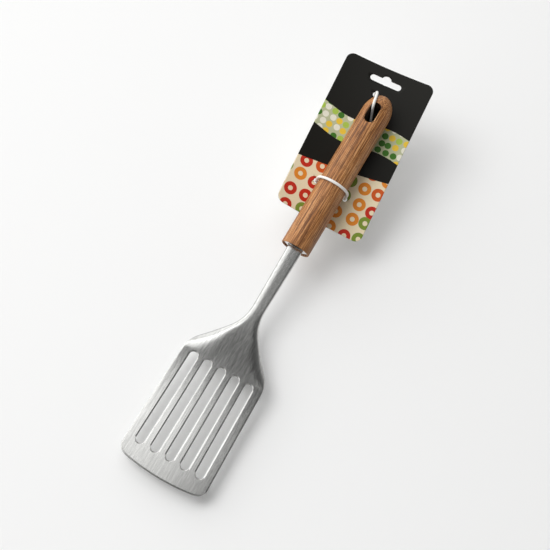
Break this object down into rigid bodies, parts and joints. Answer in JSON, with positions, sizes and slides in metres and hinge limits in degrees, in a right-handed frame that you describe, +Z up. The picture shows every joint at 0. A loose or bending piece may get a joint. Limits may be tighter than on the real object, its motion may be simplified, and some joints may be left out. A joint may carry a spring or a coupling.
{
  "type": "slotted spatula",
  "caption": "Slotted kitchen turner: brushed steel blade and channel stem in one sheet, round wooden handle with an oval hanging hole, and a plain hang card held on by white ties.",
  "frame": {"origin": "On the flat underside of the blade, under the middle of the land between the tip and the slots.", "axes": "+X along the tool from the blade's tip to the handle's end, +Z up out of the blade's upper face, +Y to the left seen from the tip."},
  "size_m": [0.3699, 0.0832, 0.0676],
  "materials": {
    "blade_steel": "brushed along the tool",
    "handle_wood": "oiled, fine lengthwise grain",
    "cap_steel": "bright",
    "tang_steel": "plain drawn rod",
    "card_board": "printed, satin",
    "tie_plastic": "plain white"
  },
  "bodies": {
    "root": {"blade": "blade_steel", "handle": "handle_wood", "end_cap": "cap_steel", "tang": "tang_steel", "hang_card": "card_board", "upper_tie": "tie_plastic", "lower_tie": "tie_plastic"}
  },
  "joints": []
}
